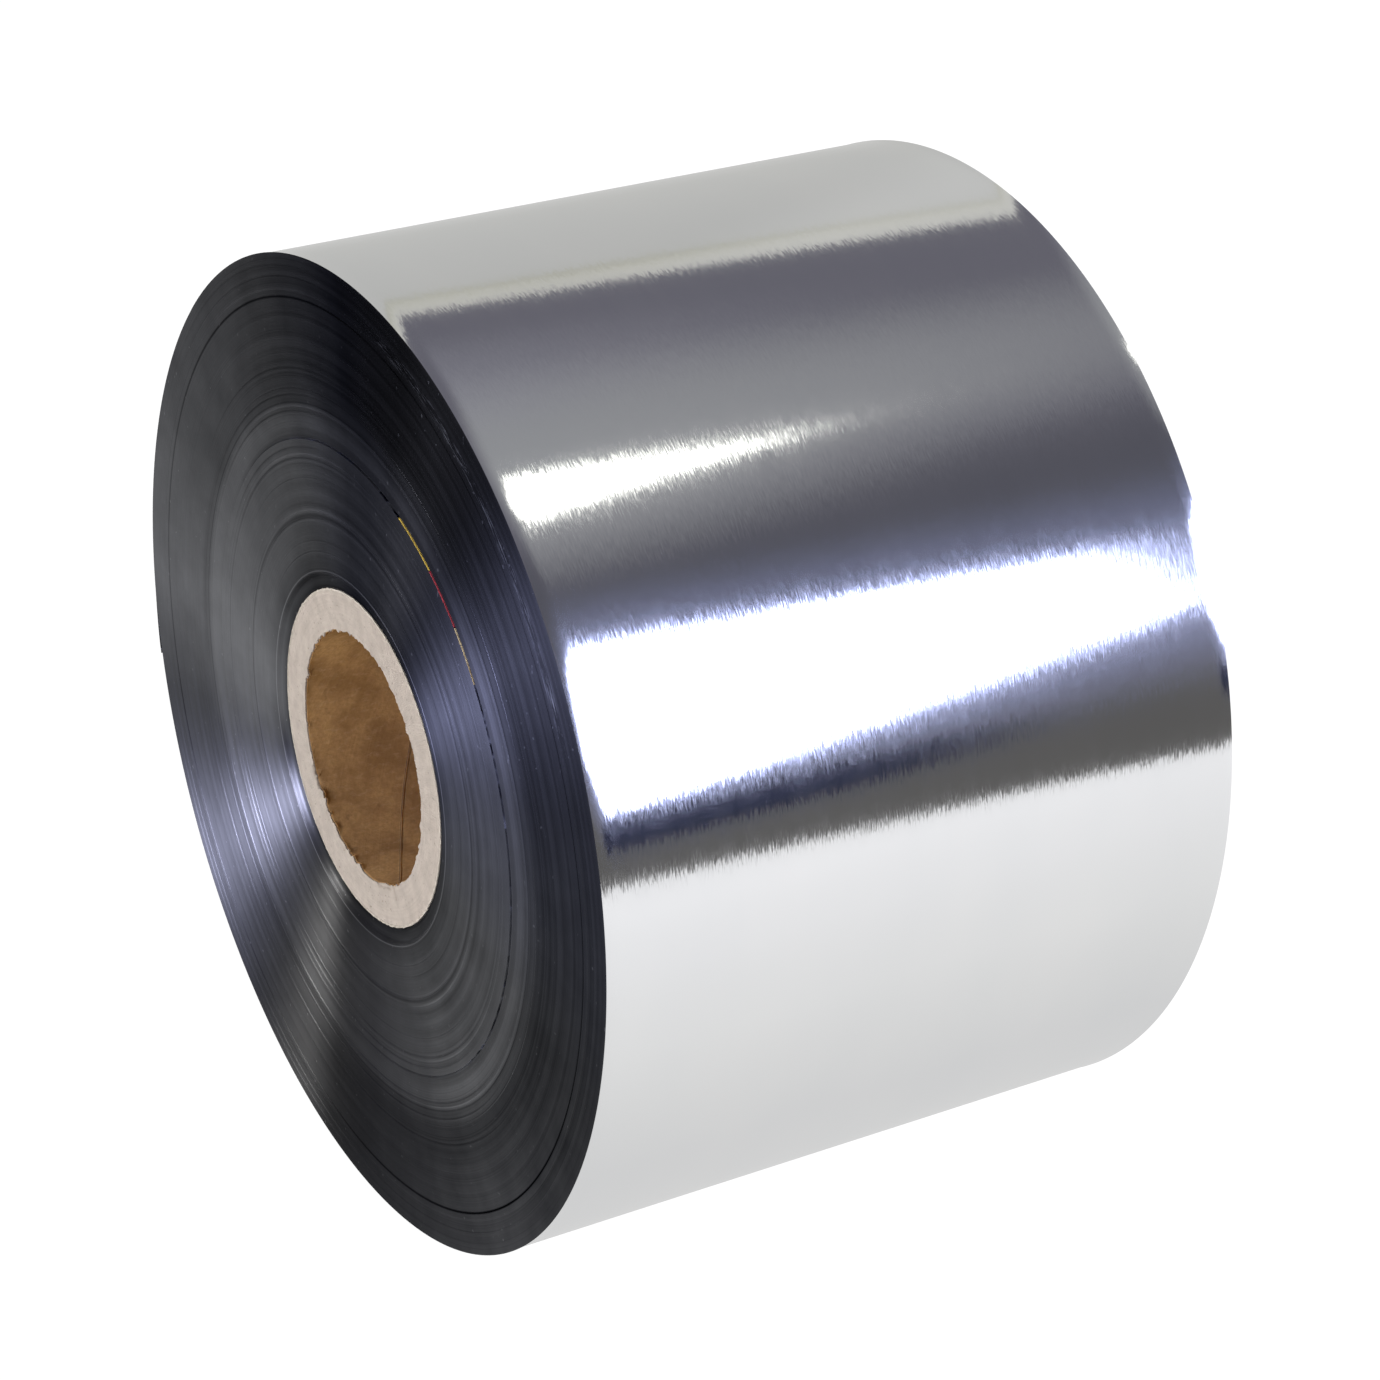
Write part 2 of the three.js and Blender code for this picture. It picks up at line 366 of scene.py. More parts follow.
def film_edge_material():
    """The wound film's end: thousands of dark cut edges, whose fine rings stretch light into streaks. Its
    colour carries painted sheen and painted shade round the face and on some rings, and painted highlights
    on two rings.
    """
    material, n = new_material("film_edges")
    _, radius, angle, outward = roll_coordinates(n)
    mm = n.mul(radius, 1 / MM)
    place = n.object_place()
    turn = n.math("FRACT", n.add(n.mul(angle, 0.5 / math.pi), 1.0))
    drift = n.mul(n.sub(n.noise(n.vector("SCALE", place, scale=9.0), 1.0, 1.0), 0.5), 3.0)
    ring_place = n.add(mm, drift)
    fine = n.sub(n.lines(ring_place, 2.6, 4.0, 0.75), 0.5)
    coarse = n.sub(n.lines(ring_place, 0.35, 3.0, 0.6), 0.5)

    def ring(middle, half_width):
        """1 on a ring of a radius in mm, easing to 0 at half_width from it."""
        off = n.math("ABSOLUTE", n.sub(n.add(mm, n.mul(drift, 0.12)), middle))
        return n.spread(off, half_width, 0.0)

    painted_round_sheen = n.ramp(turn, *PAINTED_END_SHEEN)
    painted_outer_shade_by_angle = n.ramp(turn, *PAINTED_OUTER_SHADE)
    # Painted shade: the outer turns are painted duller, more so at some angles.
    painted_outer_shade = n.add(n.mul(n.spread(n.add(mm, n.mul(drift, 0.3)), 101.0, 104.0), 0.2),
                        n.mul(n.spread(n.add(mm, n.mul(drift, 0.3)), 106.5, 110.0), painted_outer_shade_by_angle))
    painted_dullness = painted_outer_shade
    # Painted shade: some rings are painted duller.
    for middle, half_width, strength in PAINTED_DULL_RINGS:
        painted_dullness = n.add(painted_dullness, n.mul(ring(middle, half_width), strength))
    # Painted shade: the turns near the core are painted duller.
    painted_dullness = n.add(painted_dullness, n.mul(n.spread(mm, 64.0, 54.0), 0.25))
    # Painted highlights: two thin rings painted brighter, as turn edges catching light.
    painted_highlight_rings = n.add(n.mul(ring(55.4, 0.35), 0.8), n.mul(ring(72.4, 0.3), 0.12))
    ringed = n.add(1.0, n.add(n.mul(fine, 0.5), n.mul(coarse, 0.3)))
    cloud = n.add(1.0, n.mul(n.sub(n.noise(n.vector("SCALE", place, scale=60.0), 1.0, 3.0, 0.6), 0.5), 0.5))
    # Painted sheen: the metal colour is brighter and darker round the face, as painted reflections.
    painted_sheen_with_scratches = n.mul(n.mul(painted_round_sheen, n.sub(1.0, painted_dullness)), n.mul(ringed, cloud))
    painted_sheen_with_scratches = n.add(painted_sheen_with_scratches, n.mul(painted_highlight_rings, 0.5))

    scratches = n.noise(n.combine(n.mul(mm, 1.6), n.mul(angle, 14.0), 0.0), 1.0, 3.0, 0.7)
    upper_right = n.spread(n.math("COSINE", n.sub(angle, math.radians(36.0))), 0.84, 0.93)
    scuffed = n.mul(n.mul(n.mul(n.spread(scratches, 0.5, 0.68), upper_right), ring(138.3, 2.6)), 0.5)
    specks = n.mul(n.spread(n.noise(n.vector("SCALE", place, scale=620.0), 1.0, 0.0), 0.8, 0.86), 0.2)
    # Real scratches and specks are added to the painted sheen.
    painted_sheen_with_scratches = n.add(painted_sheen_with_scratches, n.add(scuffed, specks))

    lean = n.add(-0.42, n.add(n.mul(fine, 0.14), n.mul(coarse, 0.06)))
    normal = n.vector("ADD", n.node("ShaderNodeNewGeometry").outputs["Normal"],
                      n.vector("SCALE", outward, scale=lean))
    # Painted reflection: the metal is painted bluer round 42 degrees from the top, where it mirrors bluish
    # light.
    painted_blue_tint = n.spread(n.math("COSINE", n.sub(angle, math.radians(42.0))), 0.35, 0.85)
    metal = n.mix(painted_blue_tint, (0.335, 0.34, 0.36, 1), (0.32, 0.335, 0.42, 1))
    colour = n.mix(painted_sheen_with_scratches, (0.0, 0.0, 0.0, 1), metal)
    edge_tint = n.mix(painted_sheen_with_scratches, (0.1, 0.1, 0.11, 1), (1.0, 1.0, 1.0, 1))
    roughness = n.spread(coarse, -0.3, 0.3, 0.37, 0.45)
    n.principled(Base_Color=colour, Metallic=1.0, Specular_Tint=edge_tint, Roughness=roughness,
                 Anisotropic=0.87, Tangent=outward, Normal=n.vector("NORMALIZE", normal))
    return material


def board_material():
    """Cut chipboard: grey-beige, with ply lines, torn fibres and dark flecks."""
    material, n = new_material("grey_board")
    x, radius, angle, _ = roll_coordinates(n)
    place = n.object_place()
    mottle = n.noise(n.vector("SCALE", place, scale=260.0), 1.0, 4.0, 0.6)
    fibre = n.noise(n.combine(n.mul(radius, 300.0), n.mul(angle, 70.0), n.mul(x, 40.0)), 1.0, 3.0, 0.7)
    plies = n.lines(n.mul(radius, 1 / MM), 1.1, 2.0, 0.6)
    fleck = n.spread(n.noise(n.vector("SCALE", place, scale=900.0), 1.0, 1.0), 0.68, 0.76)
    colour = n.mix(n.spread(mottle, 0.3, 0.7), (0.45, 0.39, 0.345, 1), (0.54, 0.475, 0.42, 1))
    colour = n.mix(n.mul(n.spread(plies, 0.35, 0.6, 1.0, 0.0), 0.15), colour, (0.36, 0.31, 0.26, 1))
    colour = n.mix(n.mul(fleck, 0.5), colour, (0.2, 0.16, 0.12, 1))
    height = n.add(n.mul(fibre, 0.7), n.mul(mottle, 0.5))
    n.principled(Base_Color=colour, Roughness=0.9, Specular_IOR_Level=0.25,
                 Normal=n.bump(height, 0.5 * MM, 0.8))
    return material


def kraft_material():
    """Brown kraft of the bore, with fibres and mottling, and the seam line darkened."""
    material, n = new_material("kraft_liner")
    x, _, angle, _ = roll_coordinates(n)
    place = n.object_place()
    cloudy = n.noise(n.vector("SCALE", place, scale=70.0), 1.0, 5.0, 0.62)
    fibre = n.noise(n.combine(n.mul(x, 260.0), n.mul(angle, 22.0), 0.0), 1.0, 4.0, 0.65)
    blotch = n.spread(n.noise(n.vector("SCALE", place, scale=190.0), 1.0, 3.0, 0.6), 0.62, 0.72)
    colour = n.mix(n.spread(cloudy, 0.36, 0.64), (0.37, 0.2, 0.066, 1), (0.58, 0.34, 0.13, 1))
    colour = n.mix(n.mul(n.spread(fibre, 0.5, 0.72), 0.5), colour, (0.62, 0.4, 0.19, 1))
    flecks = n.spread(n.noise(n.vector("SCALE", place, scale=900.0), 1.0, 2.0, 0.6), 0.35, 0.65)
    colour = n.mix(n.mul(flecks, 0.3), colour, (0.29, 0.15, 0.055, 1))
    colour = n.mix(n.mul(blotch, 0.5), colour, (0.22, 0.11, 0.04, 1))
    along = n.mul(n.add(x, CORE_HALF), math.radians(SEAM_SLOPE))
    off_seam = n.math("SINE", n.mul(n.sub(angle, n.add(along, math.radians(SEAM_START))), 0.5))
    seam = n.spread(n.math("ABSOLUTE", off_seam), 0.006, 0.001)
    colour = n.mix(n.mul(seam, 0.85), colour, (0.05, 0.022, 0.008, 1))
    n.principled(Base_Color=colour, Roughness=0.82, Specular_IOR_Level=0.3,
                 Normal=n.bump(n.add(fibre, n.mul(cloudy, 0.6)), 0.3 * MM, 0.6))
    return material


def paper_material(name, dark, light):
    """Plain paper or tape with a fine grain, between a dark and a light colour."""
    material, n = new_material(name)
    place = n.object_place()
    fine = n.noise(n.vector("SCALE", place, scale=500.0), 1.0, 4.0, 0.65)
    broad = n.noise(n.vector("SCALE", place, scale=500.0 / 9), 1.0, 2.0)
    colour = n.mix(n.spread(n.add(n.mul(fine, 0.6), n.mul(broad, 0.4)), 0.35, 0.65), dark, light)
    n.principled(Base_Color=colour, Roughness=0.85, Specular_IOR_Level=0.3,
                 Normal=n.bump(fine, 0.3 * MM, 0.6))
    return material


# ---------------------------------------------------------------------------------------------
# The wound film
# ---------------------------------------------------------------------------------------------

TURN_SEGMENTS = 360
SIDE_INSET = 0.1 * MM  # how far the film's side ends before the web's edge
SEAM_HAIR = 1e-4  # degrees between the two sides of a step


def end_profile(radii, seed, steps):
    """How far the wound film's end stands in from the web's edge at each radius: steps and small wander."""
    ease = wander(len(radii), 24, 0.03 * MM, seed)
    depth = np.abs(ease)
    for radius, height in steps:
        depth = depth + np.where(radii > radius * MM, 0.0, height * MM)
    return depth


# Radius and height in mm: inside the radius, the wound end lies deeper by the height.
OUTER_STEPS = [(101.8, 0.12), (103.0, -0.08), (106.6, 0.12), (108.4, -0.1), (114.2, 0.06), (122.6, -0.05),
               (134.6, 0.12), (136.8, -0.12), (140.2, 0.08), (143.4, 0.06)]
INNER_STEPS = [(61.0, 0.05), (71.0, 0.12), (73.0, -0.12), (82.6, 0.05), (88.4, 0.1), (89.4, -0.06),
               (91.2, 0.08)]


def step_radii(low, high, count, steps):
    """Radii from low to high, with a close pair at each step and more where the first turns dish in."""
    radii = list(np.linspace(low, high, count))
    for radius, _ in steps:
        radii += [radius * MM - 0.06 * MM, radius * MM + 0.06 * MM]
    radii += list(np.arange(53.4, 55.6, 0.2) * MM)
    radii = np.unique(np.round(radii, 7))
    return radii[(radii >= low) & (radii <= high)]


def last_turn_depth(angle):
    """How far the surface lies under full size: the last turn's spiral, with its step at the seam."""
    past_seam = np.mod(angle - TAIL_SEAM, 360.0)
    return LAST_TURN * past_seam / 360.0


def under_size(x):
    """How far the roll's side lies under full size: winding builds the web up a little at both edges."""
    near = np.clip((WEB_HALF + x) / EDGE_WIDTH, 0, 1)
    far = np.clip((WEB_HALF - x) / EDGE_WIDTH, 0, 1)
    rise = NEAR_EDGE_RISE + (FAR_EDGE_RISE - NEAR_EDGE_RISE) * smoothstep(-WEB_HALF, WEB_HALF, x)
    return rise - NEAR_EDGE_RISE * (1 - near) ** 2 - FAR_EDGE_RISE * (1 - far) ** 2


def turn_angles(count, seam=None):
    """Angles of a whole turn. A seam gets two, a hair apart, for the step between them."""
    angles = np.linspace(0, 360, count, endpoint=False)
    if seam is None:
        return angles
    at = seam % 360
    angles = angles[np.abs(angles - at) > 0.3]
    return np.sort(np.append(angles, [at - SEAM_HAIR, at + SEAM_HAIR]))


def wound_pack(name, bore, outer_radius, steps, seed, seam=None, side_rows=90):
    """A pack of turns: both ends with their rings, the outer side and the bore. The outermost pack has a
    seam, where the last turn leaves it."""
    radii = step_radii(bore, outer_radius, 70, steps)
    dish = START_TURNS_INSET * (1 - smoothstep(*START_TURNS_RADII, radii))
    near = np.stack([radii, -WEB_HALF + end_profile(radii, seed, steps) + dish], axis=1)
    far = np.stack([radii, WEB_HALF - end_profile(radii, seed + 50, steps) - dish], axis=1)[::-1]
    side_x = -(WEB_HALF - SIDE_INSET) * np.cos(np.pi * np.linspace(0, 1, side_rows))
    side_radius = np.full(side_rows, outer_radius) if seam is None else outer_radius - under_size(side_x)
    side = np.stack([side_radius, side_x], axis=1)
    bore_x = np.linspace(far[-1, 1] - 0.5 * MM, near[0, 1] + 0.5 * MM, 4)
    inside = np.stack([np.full(len(bore_x), bore), bore_x], axis=1)
    profile = np.vstack([near, side, far, inside])
    is_side = np.zeros(len(profile))
    is_side[len(near):len(near) + len(side)] = 1
    angles = turn_angles(TURN_SEGMENTS, seam)
    spiral = last_turn_depth(angles)[:, None] * is_side[None, :] if seam is not None else 0.0
    radius = profile[None, :, 0] - spiral
    points = round_axis(radius, angles[:, None], profile[None, :, 1])
    return grid_object(name, points, closed_rows=True, closed_columns=True, sharp=50.0)


def film_faces(piece, side_radius, film, edges):
    """The side of a pack shows the film's face, and its ends show the cut edges."""
    give_material(piece, film, edges)

    def slot_of(centres):
        radius = np.hypot(centres[:, 1], centres[:, 2] - AXIS_Z)
        within = np.abs(centres[:, 0]) < WEB_HALF - SIDE_INSET - 0.02 * MM
        return np.where((radius > side_radius - 0.6 * MM) & within, 0, 1)

    paint_faces(piece, slot_of)


def make_web(film, edges):
    """The turns of film under the splice and over it."""
    inner = wound_pack("web_inner_turns", CORE_RADIUS + 0.3 * MM, SPLICE_RADIUS, INNER_STEPS, 3,
                       side_rows=12)
    give_material(inner, edges)
    outer = wound_pack("web_outer_turns", SPLICE_RADIUS + 0.01 * MM, ROLL_RADIUS, OUTER_STEPS, 11,
                       seam=TAIL_SEAM)
    film_faces(outer, ROLL_RADIUS, film, edges)
    for piece, node in ((inner, "web_inner_pack"), (outer, "web_outer_pack")):
        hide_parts(node)
        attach(piece, "roll")


def make_tail(film):
    """The free end: a thin sheet from the seam to its tip, with close rows past the root line and a lifted
    tip.
    """
    bend_end = TAIL_ROOT - TAIL_BEND
    angles = np.concatenate([np.linspace(TAIL_SEAM, TAIL_ROOT, 12, endpoint=False),
                             np.linspace(TAIL_ROOT, bend_end, 70, endpoint=False),
                             np.linspace(bend_end, TAIL_TIP, 50)])
    across = np.linspace(-1, 1, 110)
    x = (WEB_HALF - SIDE_INSET) * np.sin(across * np.pi / 2)
    flat = ROLL_RADIUS - under_size(x)
    toward_tip = smoothstep(TAIL_TIP + TIP_LIFT_SPREAD, TAIL_TIP, angles)
    free = smoothstep(CLOSING_HALF + 2 * MM, CLOSING_HALF + 14 * MM, np.abs(np.abs(x) - CLOSING_X))
    lift = TIP_LIFT * toward_tip[:, None] * free[None, :]
    tip_wander = wander(len(x), 9, 0.12, 31)
    angle = angles[:, None] + toward_tip[:, None] * tip_wander[None, :]
    outer = round_axis(flat[None, :] + lift, angle, x[None, :])
    inner = round_axis(flat[None, :] + lift - FILM_THICKNESS, angle, x[None, :])
    loop = np.concatenate([outer, inner[:, ::-1]], axis=1)
    piece = grid_object("web_tail", loop, closed_columns=True, caps=True, sharp=40.0)
    give_material(piece, film)
    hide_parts("web_tail_flap")
    start = round_axis(ROLL_RADIUS, TAIL_ROOT, 0.0)
    end = round_axis(ROLL_RADIUS, bend_end, 0.0)
    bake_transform(piece)


# ---------------------------------------------------------------------------------------------
# The core
# ---------------------------------------------------------------------------------------------

CORE_SEGMENTS = 480
LINER_INSET = 0.7 * MM
BOARD_PLIES = 10
RIM_SEED = 5
RIM_TUFTS = 80

# Middle and half width, in degrees, of the flake beside the seam, and of the place where the rim is torn.
FLAKE = (162.0, 12.0)
TEAR = (238.0, 9.0)
# The same for a slit between two plies.
PLY_SLIT = (152.0, 1.1)
# Middle and half width, in degrees, and height in mm, of the rim's broader rags.
RAGS = ((44.0, 6.0, 0.5), (97.0, 7.0, 0.35), (116.0, 6.0, 0.35), (141.0, 3.0, 0.5), (*FLAKE, 0.8),
        (*TEAR, -0.5))


def hump(angle, middle, half_width):
    """1 at an angle, easing to 0 at half_width on both sides."""
    off = np.abs(np.mod(angle - middle + 180.0, 360.0) - 180.0)
    return 1 - smoothstep(0.0, half_width, off)


def torn_rim(angle):
    """How far the torn rim of the bore reaches inwards at an angle: small wander, tufts and rags."""
    around = np.linspace(0, 360, 1440, endpoint=False)
    line = np.abs(wander(len(around), 44, 0.2 * MM, RIM_SEED, closed=True))
    line += np.abs(wander(len(around), 200, 0.1 * MM, RIM_SEED + 1, closed=True))
    random = np.random.default_rng(RIM_SEED + 2)
    for _ in range(RIM_TUFTS):
        height = random.uniform(0.2, 0.9) * MM
        line += height * hump(around, random.uniform(0, 360), random.uniform(0.5, 2.2))
    for middle, half_width, height in RAGS:
        line += height * MM * hump(around, middle, half_width)
    return np.interp(np.mod(angle, 360.0), around, line, period=360.0)


def tube_object(name, outside, inside, sharp):
    """A closed tube from two grids of points, with rows round it and columns along it."""
    return grid_object(name, np.concatenate([outside, inside[:, ::-1]], axis=1),
                       closed_rows=True, closed_columns=True, sharp=sharp)


def rim_rows(half, rows):
    """Places along a tube, close together at its cut ends."""
    close = np.array([0.0, 0.15, 0.4, 0.8, 1.4, 2.2]) * MM
    middle = np.linspace(-half + 4 * MM, half - 4 * MM, rows)
    return np.concatenate([-half + close, middle, half - close[::-1]])


def make_bore_liner():
    """The kraft liner. Its grid follows the helical butt seam, so that the groove is a clean line."""
    half = CORE_HALF - LINER_INSET
    xs = rim_rows(half, 90)
    close = np.array([-3.0, -1.6, -0.7, -0.3, 0.0, 0.3, 0.7, 1.6, 3.0])
    from_seam = np.unique(np.round(np.concatenate([np.arange(-176.0, 180.0, 1.0), close]), 4))[:, None]
    angles = SEAM_START + SEAM_SLOPE * (xs + half)[None, :] + from_seam
    near_end = np.clip(1 - (half - np.abs(xs)) / (1.4 * MM), 0, 1)[None, :] ** 1.5
    rag = torn_rim(angles)
    groove = 0.28 * MM * hump(from_seam, 0.0, 0.5)
    lifted = 0.14 * MM * hump(from_seam, 1.2, 1.6) * (from_seam > 0)
    sag = wander(len(xs), 14, 0.1 * MM, 41)[None, :] * hump(from_seam, 60.0, 110.0)
    dents = np.random.default_rng(14).normal(0, 0.018 * MM, angles.shape)
    inner = BORE_RADIUS - near_end * rag + groove - lifted + sag * (1 - near_end) + dents
    inner = np.minimum(inner, LINER_RADIUS - 0.03 * MM)
    outside = round_axis(LINER_RADIUS, angles, xs[None, :])
    inside = round_axis(inner, angles, xs[None, :])
    return tube_object("core_bore_liner_paper", outside, inside, 25.0)


def make_board():
    """The board wall: ply lines, pits and slits on its cut ends, and a bore side along the torn rim."""
    angles = np.linspace(0, 360, 2 * CORE_SEGMENTS, endpoint=False)
    radii = np.linspace(LINER_RADIUS + 0.02 * MM, BOARD_RADIUS, 40)
    share = ((radii - radii[0]) / (radii[-1] - radii[0]))[None, :]
    random = np.random.default_rng(9)
    relief = random.normal(0, 0.02 * MM, (len(angles), len(radii)))
    relief += wander(len(angles), 90, 0.03 * MM, 12, closed=True)[:, None]
    plies = 0.05 * MM * (np.cos(share * BOARD_PLIES * 2 * np.pi) > 0.7)
    pits = 0.35 * MM * (random.random((len(angles), len(radii))) > 0.9985)
    depth = np.abs(relief) + plies + pits
    rag = torn_rim(angles)[:, None] + random.normal(0, 0.03 * MM, (len(angles), 1))
    slit = hump(angles, *PLY_SLIT)[:, None] * (share > 0.05) * (share < 0.3)
    for place, low, high in ((FLAKE, 0.01, 0.09), (TEAR, 0.01, 0.08)):
        slit = slit + (hump(angles, *place)[:, None] > 0.35) * (share > low) * (share < high)
    crumble = np.abs(random.normal(0, 0.1 * MM, (len(angles), 1))) * (1 - smoothstep(0.0, 0.22, share))
    depth = depth + 0.9 * MM * slit + crumble
    reach = radii[0] - BORE_RADIUS - 0.15 * MM + rag
    radius = radii[None, :] - (1 - smoothstep(0.0, 0.3, share)) * reach
    near = round_axis(radius, angles[:, None], -CORE_HALF + depth)
    far = round_axis(radius, angles[:, None], CORE_HALF - depth)
    lip_x = CORE_HALF - LINER_INSET + 0.1 * MM
    lips = [round_axis(radii[0] - 0.8 * reach, angles[:, None], x) for x in (lip_x, -lip_x)]
    under_x = lip_x - 0.05 * MM
    unders = [round_axis(radii[0], angles[:, None], x) for x in (under_x, -under_x)]
    inside = np.concatenate([lips[0], unders[0], unders[1], lips[1]], axis=1)
    return grid_object("core_board_wall", np.concatenate([near, far[:, ::-1], inside], axis=1),
                       closed_rows=True, closed_columns=True, sharp=60.0)


def make_outer_liner():
    """The pale outer liner, a little frayed at its cut rims."""
    xs = rim_rows(CORE_HALF, 6)[None, :]
    angles = np.linspace(0, 360, CORE_SEGMENTS, endpoint=False)[:, None]
    fray = 0.25 * MM * np.abs(wander(CORE_SEGMENTS, 240, 0.5, 77, closed=True))[:, None]
    near_end = np.clip(1 - (CORE_HALF - np.abs(xs)) / (0.8 * MM), 0, 1)
    outside = round_axis(CORE_RADIUS - 0.02 * MM + near_end * fray, angles, xs)
    inside = round_axis(BOARD_RADIUS + 0.02 * MM, angles, xs)
    return tube_object("core_outer_liner_paper", outside, inside, 35.0)


def make_core(board, kraft, paper):
    """The core's three pieces. One board wall stands for all ten plies."""
    plies = [f"core_board_ply_{ply:02d}" for ply in range(1, BOARD_PLIES + 1)]
    parts = ((make_bore_liner(), kraft, ["core_bore_liner"], "kraft_liner"),
             (make_board(), board, plies, "grey_board"),
             (make_outer_liner(), paper, ["core_outer_liner"], "pale_liner"))
    for piece, material, nodes, slot in parts:
        give_material(piece, material)
        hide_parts(*nodes)
        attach(piece, "roll")


# ---------------------------------------------------------------------------------------------
# Tapes
# ---------------------------------------------------------------------------------------------


def make_closing_tapes(tape):
    """Two short tapes with toothed cut ends, that run over the flap's tip and down onto the roll."""
    for node in ("closing_tape_near", "closing_tape_far"):
        low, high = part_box(node)
        x = np.linspace(low.x, high.x, 40)
        angles = np.linspace(CLOSING_FROM, CLOSING_TO, 60)
        flat = ROLL_RADIUS - under_size((low.x + high.x) / 2)
        over_flap = flat + 0.03 * MM
        past = np.maximum(0.0, TAIL_TIP - angles)
        below = flat - last_turn_depth(angles) + 0.02 * MM
        under = np.maximum(over_flap - 0.1 * MM * past, np.where(angles < TAIL_TIP, below, over_flap))
        teeth = 0.18 * np.abs(np.mod(np.arange(len(x)), 4) - 2)
        share = (angles - angles[0]) / (angles[-1] - angles[0])
        angle = angles[:, None] + np.where(share > 0.97, 1, 0)[:, None] * teeth[None, :]
        angle = angle - np.where(share < 0.03, 1, 0)[:, None] * teeth[None, ::-1]
        wrinkle = np.random.default_rng(len(node)).normal(0, 0.012 * MM, angle.shape)
        outer = round_axis(under[:, None] + CLOSING_THICKNESS + wrinkle, angle, x[None, :])
        inner = round_axis(under[:, None], angle, x[None, :])
        loop = np.concatenate([outer, inner[:, ::-1]], axis=1)
        piece = grid_object(node + "_paper", loop, closed_columns=True, caps=True)
        give_material(piece, tape)
        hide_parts(node)
        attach(piece, "tail")


def finish_kept_nodes(materials):
    """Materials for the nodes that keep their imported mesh."""
    for node, material in materials.items():
        give_material(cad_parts[node], material)


# ---------------------------------------------------------------------------------------------
# Stage: camera, floor and studio
# ---------------------------------------------------------------------------------------------

# The camera, fitted to the circles in the photo.
CAMERA_AZIMUTH = -30.22
CAMERA_PLACE = Vector((-0.5178, -0.9062, AXIS_Z + 0.5053))
CAMERA_AIM = Vector((0.0101, 0.0, AXIS_Z - 0.0048))
CAMERA_LENS = 101.2
CAMERA_SENSOR = 36.0


def direction(azimuth, elevation):
    """The unit vector towards an azimuth (0 is -Y, 90 is +X) and an elevation, in degrees."""
    a, e = math.radians(azimuth), math.radians(elevation)
    return Vector((math.sin(a) * math.cos(e), -math.cos(a) * math.cos(e), math.sin(e)))


def make_camera():
    data = bpy.data.cameras.new("camera")
    data.lens = CAMERA_LENS
    data.sensor_width = CAMERA_SENSOR
    camera = bpy.data.objects.new("camera", data)
    camera.location = CAMERA_PLACE
    camera.rotation_euler = (CAMERA_AIM - CAMERA_PLACE).to_track_quat("-Z", "Y").to_euler()
    bpy.context.scene.collection.objects.link(camera)
    bpy.context.scene.camera = camera


def stage_face(name, corners):
    """A flat face for the stage."""
    mesh = bpy.data.meshes.new(name)
    mesh.from_pydata([tuple(corner) for corner in corners], [], [tuple(range(len(corners)))])
    made = bpy.data.objects.new(name, mesh)
    bpy.context.scene.collection.objects.link(made)
    return made


def plane(name, centre, right, up, width, height):
    """A rectangle for the stage, with its middle at centre."""
    corners = [centre + right * a * width / 2 + up * b * height / 2
               for a, b in ((-1, -1), (1, -1), (1, 1), (-1, 1))]
    return stage_face(name, corners)


UP = Vector((0, 0, 1))
VIEW_BACK = direction(CAMERA_AZIMUTH, 0.0)
VIEW_RIGHT = UP.cross(VIEW_BACK)

# The studio paper: half its width, the roll's distance from its right edge and the way there, and the
# distance and height of its hanging part. Mirror rays see a painted shadow on the floor along the roll's
# shadow.
PAPER_HALF_WIDTH = 0.765
PAPER_EDGE = 0.675
PAPER_EDGE_WAY = direction(64.6, 0.0)
PAPER_BACK = 0.9
PAPER_TOP = AXIS_Z + 0.977
PAPER_EDGE_BLUR = 0.002
SHADOW_WAY = direction(-162.0, 0.0)


